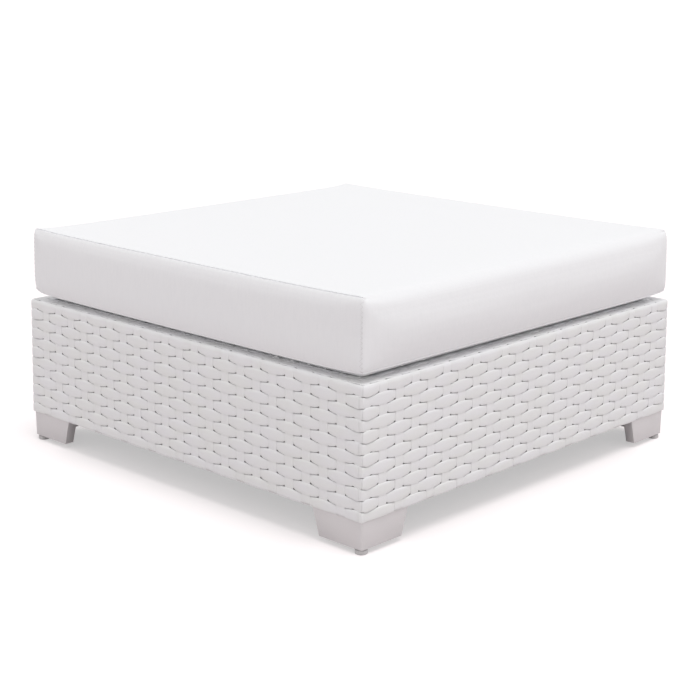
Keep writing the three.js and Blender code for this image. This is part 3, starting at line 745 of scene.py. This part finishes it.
def resampled(line, step):
    """Points at even steps along a line of points."""
    lengths = np.linalg.norm(np.diff(line, axis=0), axis=1)
    place = np.concatenate([[0], np.cumsum(lengths)])
    wanted = np.linspace(0, place[-1], max(2, round(place[-1] / step)))
    return np.stack([np.interp(wanted, place, line[:, axis]) for axis in range(3)], axis=-1)


def zigzag(line, across, outward):
    """A zigzag stitch over a seam line."""
    swung = resampled(line + STITCH_HALF_WIDTH * across, STITCH_PITCH / 2)
    back = resampled(line - STITCH_HALF_WIDTH * across, STITCH_PITCH / 2)
    count = min(len(swung), len(back))
    turns = (np.arange(count) % 2 == 1)[:, None]
    return thread(np.where(turns, swung[:count], back[:count]) + outward.mean(axis=0) * STITCH_LIFT, THREAD_RADIUS)


def dashes(line, outward):
    """A row of separate stitches along a seam line."""
    path = resampled(line, STITCH_LENGTH / 2)
    parts = []
    for i in range(0, len(path) - 2, 2):
        stitch = path[i] + (path[i + 2] - path[i]) * np.linspace(0.1, 0.9, 5)[:, None]
        lift = STITCH_LIFT * np.array([-1, 0.8, 1, 0.8, -1])[:, None]
        parts.append(thread(stitch + outward * lift, THREAD_RADIUS))
    return parts


def stitches(points, cells, y, z, cloth):
    """Zigzags down the four upright seams and a row of stitches above and below the zip."""
    parts = []
    last_x = cells[:, 0].max()
    stitched = (cells[:, 2] > 1) & (cells[:, 2] < len(z) - 4)

    def upright_line(i, j):
        """The points of one upright grid line, from above the hem to below the top fold."""
        on_line = stitched & (cells[:, 0] == i) & (cells[:, 1] == j)
        return points[on_line][np.argsort(cells[on_line, 2])]

    for i, sign in ((0, -1), (last_x, 1)):
        for j in upright_seams(y):
            line = upright_line(i, j)
            across = upright_line(i, j + 1) - line
            across /= np.linalg.norm(across, axis=1)[:, None]
            parts.append(zigzag(line, across, np.cross(across, [0, 0, -sign])))
    for rim in (-ZIP_RIM, ZIP_RIM):
        k = int(np.argmin(np.abs(z - ZIP_MIDDLE - rim)))
        on_line = (cells[:, 1] == len(y) - 1) & (cells[:, 2] == k)
        line = points[on_line][np.argsort(cells[on_line, 0])]
        line = line[np.abs(line[:, 0]) < ZIP_HALF_LENGTH + ZIP_END_GAP]
        parts += dashes(line, np.array([0, 1, 0]))
    made = add_mesh("cushion_stitches", *gather(parts), cloth)
    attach(made, "cushion")


def upright_seams(y):
    """Which grid lines along Y the upright seams follow."""
    return [int(np.argmin(np.abs(y - sign * (SEAT_HALF - SEAM_OFFSET)))) for sign in (-1, 1)]


def seam_lines(x, y, z, cells):
    """How deep each point lies in a seam, which lie right beside one, and which lie on the hem."""
    i, j, k = cells.T
    last_x, last_y, last_z = len(x) - 1, len(y) - 1, len(z) - 1
    on_side = (i == 0) | (i == last_x)
    top = on_side & (k == last_z)
    beside_top = (on_side & (k == last_z - 1)) | (np.isin(i, [1, last_x - 1]) & (k == last_z))
    uprights = upright_seams(y)
    upright = on_side & np.isin(j, uprights)
    beside_upright = on_side & np.isin(j, [line + d for line in uprights for d in (-1, 1)])
    hemmed = (on_side | (j == 0)) & (j < last_y)
    groove = hemmed & (k == 2)
    depth = np.maximum(top * TOP_SEAM_DEPTH, np.maximum(upright * SEAM_DEPTH, groove * HEM_GROOVE_DEPTH))
    return depth, (beside_top | beside_upright) & ~top & ~upright, hemmed & (k <= 1)


def cushion(cloth, thread_looks, foam):
    """The cover, settled as cloth and then seamed, its stitches, and the foam inside it."""
    x, y, z = cushion_lines()
    box, faces, cells = box_grid(x, y, z)
    points, away = rounded(box)
    points = shaped(folded_under(points), away)
    seam_depth, beside, hem = seam_lines(x, y, z, cells)
    back = cells[:, 1] == len(y) - 1
    from_zip, along_zip = np.abs(box[:, 2] - ZIP_MIDDLE), np.abs(box[:, 0])
    by_zip = back & (from_zip < (ZIP_RIM + ZIP_GAP) / 2) & (along_zip < ZIP_HALF_LENGTH + ZIP_END_GAP / 2)
    points = settled(points, faces, (seam_depth > 0) | hem | by_zip | (cells[:, 2] == 0))
    stitches(points, cells, y, z, thread_looks)
    points = points - away * seam_depth[:, None] + away * (beside * BESIDE_SEAM_RISE)[:, None]
    level_away = away * [1, 1, 0]
    level_away /= np.maximum(np.linalg.norm(level_away, axis=1), 0.2)[:, None]
    points += level_away * (hem * HEM_RIDGE)[:, None]
    inside = by_zip & (from_zip < (ZIP_SLOT + ZIP_WALL) / 2) & (along_zip < ZIP_HALF_LENGTH)
    points[inside, 1] = ZIP_FLOOR
    points[by_zip & ~inside, 1] += ZIP_RIM_RISE
    made = add_mesh("cushion_cover_cloth", points, faces, cloth)
    made.modifiers.new("rounder", "SUBSURF").render_levels = 1
    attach(made, "cushion")
    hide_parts("cushion_cover")
    middle = np.array([0, 0, SEAT_LOW + (BOX_SIDE + HEM_HEIGHT) / 2])
    shrink = 1 - FOAM_INSET / np.array([SEAT_HALF, SEAT_HALF, BOX_SIDE / 2])
    inner = middle + (points - middle) * shrink
    inner[:, 1] = np.minimum(inner[:, 1], ZIP_FLOOR - FOAM_BEHIND_ZIP)
    core = add_mesh("cushion_foam", inner, faces, foam)
    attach(core, "cushion")
    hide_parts("cushion_core")


# Feet and frame

CAST_BEVEL = 0.9 * MM
SAME_POINT = 0.01 * MM
FLAT_ANGLE = math.radians(2)
SHARP_ANGLE = math.radians(35)
SMOOTH_ANGLE = math.radians(40)


def bevelled_copy(node, name, width, looks):
    """A CAD piece with its sharp edges softened, for a piece that shows."""
    made = bmesh.new()
    made.from_mesh(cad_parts[node].data)
    bmesh.ops.remove_doubles(made, verts=made.verts, dist=SAME_POINT)
    bmesh.ops.dissolve_limit(made, angle_limit=FLAT_ANGLE, verts=made.verts, edges=made.edges)
    sharp = [e for e in made.edges if len(e.link_faces) == 2 and e.calc_face_angle() > SHARP_ANGLE]
    bmesh.ops.bevel(made, geom=sharp, offset=width, segments=3, profile=0.5, affect="EDGES", clamp_overlap=True)
    mesh = bpy.data.meshes.new(name)
    made.to_mesh(mesh)
    made.free()
    mesh.polygons.foreach_set("use_smooth", [True] * len(mesh.polygons))
    mesh.set_sharp_from_angle(angle=SMOOTH_ANGLE)
    mesh.materials.append(looks)
    return placed(name, mesh)


def feet(looks):
    """The four cast feet, with their edges softened."""
    for corner in CORNERS:
        made = bevelled_copy("foot_" + corner, "foot_" + corner + "_cast", CAST_BEVEL, looks)
        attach(made, "base")
        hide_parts("foot_" + corner)


def dress_frame(by_start):
    """Gives each CAD node that stays its material, by the start of its name."""
    for name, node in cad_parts.items():
        if node.hide_render:
            continue
        for start, (looks, slot) in by_start.items():
            if name.startswith(start):
                node.data.materials.clear()
                node.data.materials.append(looks)


# Stage

FLOOR_REACH = 30
FLOOR_GLOW = 0.45
SKY_AT_HORIZON = 1.08
SKY_AT_ZENITH = 0.45
SKY_SEEN = 1.0
KEY_DIRECTION = (0.03, 0.22, -0.97)
KEY_ENERGY = 1.37
KEY_SPREAD = 30

# The camera: angles in degrees, distance in widths of the base, and focal length and optical centre in image pixels
IMAGE_SIZE = 700
SENSOR_WIDTH = 36
AZIMUTH = 45 - 1.8033
ELEVATION = 15.0232
DISTANCE = 3.5169
YAW = 0.0871
PITCH_DOWN = 8.0
ROLL = 0.4387
FOCAL_LENGTH = 1567.83
CENTRE_ROW = 173.28


def stage():
    """A pale floor that keeps the shadow and looks near white to the camera."""
    looks = Looks("floor", (0.64, 0.59, 0.595), 1.0)
    looks.shader.inputs["Specular IOR Level"].default_value = 0
    looks.shader.inputs["Emission Color"].default_value = (1, 1, 1, 1)
    path = looks.node("ShaderNodeLightPath")
    glow = looks.node("ShaderNodeMath")
    glow.operation = "MULTIPLY"
    glow.inputs[1].default_value = FLOOR_GLOW
    looks.link(path.outputs["Is Camera Ray"], glow.inputs[0])
    looks.link(glow.outputs["Value"], looks.shader.inputs["Emission Strength"])
    corners = [(x * FLOOR_REACH, y * FLOOR_REACH, 0) for x, y in ((-1, -1), (1, -1), (1, 1), (-1, 1))]
    add_mesh("floor", corners, [(0, 1, 2, 3)], looks.material, smooth=False)


def sun(name, direction, energy, spread):
    """A lamp that shines along a direction, softened by its spread in degrees."""
    data = bpy.data.lights.new(name, "SUN")
    data.energy = energy
    data.angle = math.radians(spread)
    placed(name, data).rotation_euler = Vector(direction).to_track_quat("-Z", "Y").to_euler()


def lights():
    """A sky that is brightest at the horizon and white to the camera and in reflections, and one soft key lamp."""
    world = bpy.data.worlds.new("studio")
    bpy.context.scene.world = world
    world.use_nodes = True
    nodes, links = world.node_tree.nodes, world.node_tree.links
    background = nodes["Background"]
    background.inputs["Color"].default_value = (1, 1, 1, 1)
    path = nodes.new("ShaderNodeLightPath")
    seen = path.outputs["Is Camera Ray"]
    for ray in ("Is Glossy Ray", "Is Transmission Ray"):
        either = nodes.new("ShaderNodeMath")
        either.operation = "MAXIMUM"
        links.new(seen, either.inputs[0])
        links.new(path.outputs[ray], either.inputs[1])
        seen = either.outputs["Value"]
    direction, split = nodes.new("ShaderNodeTexCoord"), nodes.new("ShaderNodeSeparateXYZ")
    links.new(direction.outputs["Generated"], split.inputs[0])
    sky = nodes.new("ShaderNodeMapRange")
    sky.inputs["To Min"].default_value = SKY_AT_HORIZON
    sky.inputs["To Max"].default_value = SKY_AT_ZENITH
    links.new(split.outputs["Z"], sky.inputs["Value"])
    strength = nodes.new("ShaderNodeMapRange")
    strength.inputs["To Max"].default_value = SKY_SEEN
    links.new(sky.outputs["Result"], strength.inputs["To Min"])
    links.new(seen, strength.inputs["Value"])
    links.new(strength.outputs["Result"], background.inputs["Strength"])
    sun("key", KEY_DIRECTION, KEY_ENERGY, KEY_SPREAD)


def bearing(turn, rise):
    """The direction at an angle round from +X and an angle above the floor."""
    return Vector((math.cos(turn) * math.cos(rise), math.sin(turn) * math.cos(rise), math.sin(rise)))


def camera():
    """The photograph's view, fitted to the corners of the base, feet and cushion. It looks down, to shift less."""
    width = 2 * HALF
    azimuth, pitch, roll = math.radians(AZIMUTH), math.radians(PITCH_DOWN), math.radians(ROLL)
    back = bearing(azimuth + math.pi, math.radians(ELEVATION))
    place = Vector((0, 0, WEAVE_BOTTOM + 0.1 * width)) + back * (DISTANCE * width)
    forward = bearing(azimuth + math.radians(YAW), -pitch)
    right = forward.cross(Vector((0, 0, 1))).normalized()
    up = right.cross(forward)
    turned_right = right * math.cos(roll) + up * math.sin(roll)
    turned_up = up * math.cos(roll) - right * math.sin(roll)
    data = bpy.data.cameras.new("camera")
    data.sensor_width = SENSOR_WIDTH
    data.lens = FOCAL_LENGTH / IMAGE_SIZE * SENSOR_WIDTH
    data.shift_y = (CENTRE_ROW - IMAGE_SIZE / 2) / IMAGE_SIZE
    data.clip_start, data.clip_end = 0.05, 200
    made = placed("camera", data)
    basis = Matrix((turned_right, turned_up, -forward)).transposed().to_4x4()
    made.matrix_world = Matrix.Translation(place) @ basis
    bpy.context.scene.camera = made


bpy.context.scene.view_settings.view_transform = "Standard"
camera()
lights()
stage()

wicker = plastic_strap_looks()
weave_sides(wicker)
# The liner's dark grey is painted shade: it darkens the gaps and notches between the straps.
painted_shade_liner(moulded_plastic_looks("painted_shade_liner", (0.34, 0.33, 0.33), (0.28, 0.27, 0.27), 0.7))
weave_deck(wicker)
# The thread's grey, a little darker than the cloth, is partly its own colour and partly painted shade for the
# shadows round the raised stitches.
thread_looks = moulded_plastic_looks("thread", (0.76, 0.755, 0.76), (0.70, 0.69, 0.70), 0.5)
cushion(cloth_looks(), thread_looks, foam_looks())
feet(painted_metal_looks("foot_metal", (0.755, 0.736, 0.742), (0.725, 0.706, 0.714), 0.42, 0.25, 900))
bare = painted_metal_looks("frame_metal", (0.72, 0.72, 0.72), (0.68, 0.68, 0.69), 0.4, 0.6, 500)
steel = steel_looks()
pads = moulded_plastic_looks("pad_plastic", (0.62, 0.61, 0.61), (0.56, 0.55, 0.55), 0.5)
zips = moulded_plastic_looks("zip_plastic", (0.80, 0.805, 0.81), (0.77, 0.775, 0.78), 0.42)
frame_starts = ("top_rail", "bottom_rail", "middle_post", "corner_post", "deck_slat", "gusset")
steel_starts = ("glide_insert", "glide_stud", "foot_screw")
dress_frame({
    **{start: (bare, "frame_metal") for start in frame_starts},
    **{start: (steel, "steel") for start in steel_starts},
    "glide_pad": (pads, "pad_plastic"),
    "zip": (zips, "zip_plastic"),
})
